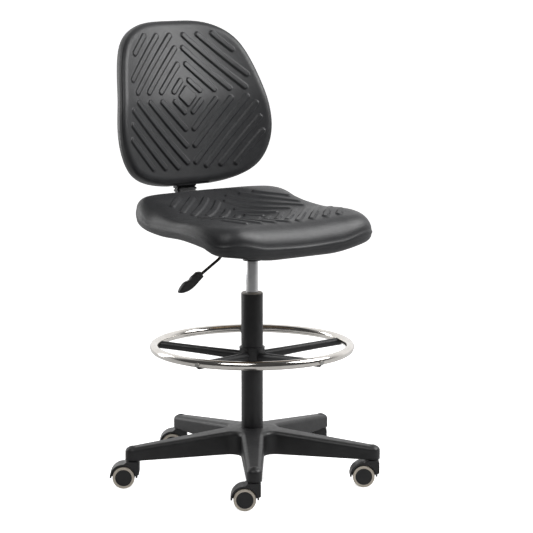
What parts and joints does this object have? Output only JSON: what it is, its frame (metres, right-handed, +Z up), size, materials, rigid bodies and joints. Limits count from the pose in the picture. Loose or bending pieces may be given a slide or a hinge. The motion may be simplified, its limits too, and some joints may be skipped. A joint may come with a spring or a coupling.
{
  "type": "drafting_chair",
  "caption": "Black drafting chair with a patterned foam seat and backrest, chrome gas lift, adjustable chrome foot ring and a swivelling star base on casters.",
  "frame": {"origin": "on the floor, on the axis of the gas column", "axes": "+Z up; the sitter faces -Y, with the left hand towards +X; the height lever is on the -X side"},
  "size_m": [0.6256, 0.6127, 1.0398],
  "materials": {
    "black_foam": "matte",
    "black_plastic": "satin",
    "hood_plastic": "satin",
    "wheel_plastic": "satin",
    "tyre_beige": "matte",
    "column_black": "satin",
    "bushing_plastic": "matte",
    "gas_chrome": "polished",
    "ring_chrome": "polished",
    "spider_plastic": "satin",
    "mechanism_black": "satin",
    "bar_black": "satin",
    "bellows_rubber": "matte",
    "steel": "satin",
    "seat_wood": "matte",
    "buffer_rubber": "matte"
  },
  "bodies": {
    "base": {"base_star": "black_plastic", "caster_stems": "steel", "column_tube": "column_black", "column_bushing": "bushing_plastic", "column_bearing": "steel", "column_buffer": "buffer_rubber"},
    "spindle": {"piston_rod": "steel", "retaining_clip": "steel"},
    "seat": {"gas_cylinder": "gas_chrome", "seat_mechanism": "mechanism_black", "lever_pin": "steel", "seat_board": "seat_wood", "seat_bolts": "steel", "seat_foam": "black_foam"},
    "button": {"release_button": "steel"},
    "lever": {"lever_rod": "mechanism_black", "lever_grip": "black_plastic"},
    "bar": {"back_bar": "bar_black", "bar_bellows": "bellows_rubber"},
    "depth_knob": {"depth_knob": "black_plastic"},
    "carrier": {"back_carrier": "black_plastic"},
    "height_knob": {"height_knob": "black_plastic"},
    "backrest": {"back_plate": "mechanism_black", "tilt_pin": "steel", "back_screws": "steel", "backrest_foam": "black_foam"},
    "collet": {"footring_collet": "spider_plastic"},
    "footring": {"footring_spider": "spider_plastic", "foot_ring": "ring_chrome", "footring_bolts": "steel"},
    "caster_1": {"caster_1_hood": "hood_plastic", "caster_1_axle": "steel"},
    "caster_1_wheel_a": {"caster_1_wheel_a": "wheel_plastic", "caster_1_tyre_a": "tyre_beige"},
    "caster_1_wheel_b": {"caster_1_wheel_b": "wheel_plastic", "caster_1_tyre_b": "tyre_beige"},
    "caster_2": {"caster_2_hood": "hood_plastic", "caster_2_axle": "steel"},
    "caster_2_wheel_a": {"caster_2_wheel_a": "wheel_plastic", "caster_2_tyre_a": "tyre_beige"},
    "caster_2_wheel_b": {"caster_2_wheel_b": "wheel_plastic", "caster_2_tyre_b": "tyre_beige"},
    "caster_3": {"caster_3_hood": "hood_plastic", "caster_3_axle": "steel"},
    "caster_3_wheel_a": {"caster_3_wheel_a": "wheel_plastic", "caster_3_tyre_a": "tyre_beige"},
    "caster_3_wheel_b": {"caster_3_wheel_b": "wheel_plastic", "caster_3_tyre_b": "tyre_beige"},
    "caster_4": {"caster_4_hood": "hood_plastic", "caster_4_axle": "steel"},
    "caster_4_wheel_a": {"caster_4_wheel_a": "wheel_plastic", "caster_4_tyre_a": "tyre_beige"},
    "caster_4_wheel_b": {"caster_4_wheel_b": "wheel_plastic", "caster_4_tyre_b": "tyre_beige"},
    "caster_5": {"caster_5_hood": "hood_plastic", "caster_5_axle": "steel"},
    "caster_5_wheel_a": {"caster_5_wheel_a": "wheel_plastic", "caster_5_tyre_a": "tyre_beige"},
    "caster_5_wheel_b": {"caster_5_wheel_b": "wheel_plastic", "caster_5_tyre_b": "tyre_beige"}
  },
  "joints": [
    {"name": "seat_swivel", "type": "hinge", "parent": "base", "child": "spindle", "pos_m": [0, 0, 0.3], "axis": [0, 0, 1], "continuous": true},
    {"name": "seat_lift", "type": "slide", "parent": "spindle", "child": "seat", "axis": [0, 0, 1], "range_m": [-0.06, 0.19]},
    {"name": "lever_turn", "type": "hinge", "parent": "seat", "child": "lever", "pos_m": [-0.03, 0, 0.549], "axis": [0, 1, 0], "range_deg": [0, 6], "stiffness_Nm_per_rad": 6, "springref_deg": -2.86},
    {"name": "button_press", "type": "slide", "parent": "seat", "child": "button", "axis": [0, 0, 1], "range_m": [-0.0041, 0]},
    {"name": "back_depth", "type": "slide", "parent": "seat", "child": "bar", "axis": [0, 1, 0], "range_m": [-0.005, 0.045]},
    {"name": "depth_knob_turn", "type": "hinge", "parent": "seat", "child": "depth_knob", "pos_m": [0, 0.12, 0.525], "axis": [0, 0, 1], "continuous": true},
    {"name": "back_height", "type": "slide", "parent": "bar", "child": "carrier", "axis": [0, 0.2419, 0.9703], "range_m": [-0.015, 0.045]},
    {"name": "height_knob_turn", "type": "hinge", "parent": "carrier", "child": "height_knob", "pos_m": [0, 0.28869, 0.745], "axis": [0, 0.9703, -0.2419], "continuous": true},
    {"name": "back_tilt", "type": "hinge", "parent": "carrier", "child": "backrest", "pos_m": [0, 0.2777, 0.745], "axis": [-1, 0, 0], "range_deg": [-5, 8]},
    {"name": "footring_height", "type": "slide", "parent": "base", "child": "collet", "axis": [0, 0, 1], "range_m": [-0.11, 0.12]},
    {"name": "footring_turn", "type": "hinge", "parent": "collet", "child": "footring", "pos_m": [0, 0, 0.28], "axis": [0, 0, 1], "range_deg": [0, 60]},
    {"name": "caster_1_swivel", "type": "hinge", "parent": "base", "child": "caster_1", "pos_m": [0, 0.2868, 0.05], "axis": [0, 0, 1], "continuous": true},
    {"name": "caster_1_roll_a", "type": "hinge", "parent": "caster_1", "child": "caster_1_wheel_a", "pos_m": [-0.0164, 0.29909, 0.025], "axis": [0.5997, 0.8002, 0], "continuous": true},
    {"name": "caster_1_roll_b", "type": "hinge", "parent": "caster_1", "child": "caster_1_wheel_b", "pos_m": [-0.0164, 0.29909, 0.025], "axis": [0.5997, 0.8002, 0], "continuous": true},
    {"name": "caster_2_swivel", "type": "hinge", "parent": "base", "child": "caster_2", "pos_m": [-0.27276, 0.08863, 0.05], "axis": [0, 0, 1], "continuous": true},
    {"name": "caster_2_roll_a", "type": "hinge", "parent": "caster_2", "child": "caster_2_wheel_a", "pos_m": [-0.28917, 0.10092, 0.025], "axis": [0.5997, 0.8002, 0], "continuous": true},
    {"name": "caster_2_roll_b", "type": "hinge", "parent": "caster_2", "child": "caster_2_wheel_b", "pos_m": [-0.28917, 0.10092, 0.025], "axis": [0.5997, 0.8002, 0], "continuous": true},
    {"name": "caster_3_swivel", "type": "hinge", "parent": "base", "child": "caster_3", "pos_m": [-0.16858, -0.23203, 0.05], "axis": [0, 0, 1], "continuous": true},
    {"name": "caster_3_roll_a", "type": "hinge", "parent": "caster_3", "child": "caster_3_wheel_a", "pos_m": [-0.18498, -0.21973, 0.025], "axis": [0.5997, 0.8002, 0], "continuous": true},
    {"name": "caster_3_roll_b", "type": "hinge", "parent": "caster_3", "child": "caster_3_wheel_b", "pos_m": [-0.18498, -0.21973, 0.025], "axis": [0.5997, 0.8002, 0], "continuous": true},
    {"name": "caster_4_swivel", "type": "hinge", "parent": "base", "child": "caster_4", "pos_m": [0.16858, -0.23203, 0.05], "axis": [0, 0, 1], "continuous": true},
    {"name": "caster_4_roll_a", "type": "hinge", "parent": "caster_4", "child": "caster_4_wheel_a", "pos_m": [0.15217, -0.21973, 0.025], "axis": [0.5997, 0.8002, 0], "continuous": true},
    {"name": "caster_4_roll_b", "type": "hinge", "parent": "caster_4", "child": "caster_4_wheel_b", "pos_m": [0.15217, -0.21973, 0.025], "axis": [0.5997, 0.8002, 0], "continuous": true},
    {"name": "caster_5_swivel", "type": "hinge", "parent": "base", "child": "caster_5", "pos_m": [0.27276, 0.08863, 0.05], "axis": [0, 0, 1], "continuous": true},
    {"name": "caster_5_roll_a", "type": "hinge", "parent": "caster_5", "child": "caster_5_wheel_a", "pos_m": [0.25636, 0.10092, 0.025], "axis": [0.5997, 0.8002, 0], "continuous": true},
    {"name": "caster_5_roll_b", "type": "hinge", "parent": "caster_5", "child": "caster_5_wheel_b", "pos_m": [0.25636, 0.10092, 0.025], "axis": [0.5997, 0.8002, 0], "continuous": true}
  ],
  "couplings": [
    {"joint": "button_press", "follows": "lever_turn", "m_per_rad": -0.0382}
  ]
}
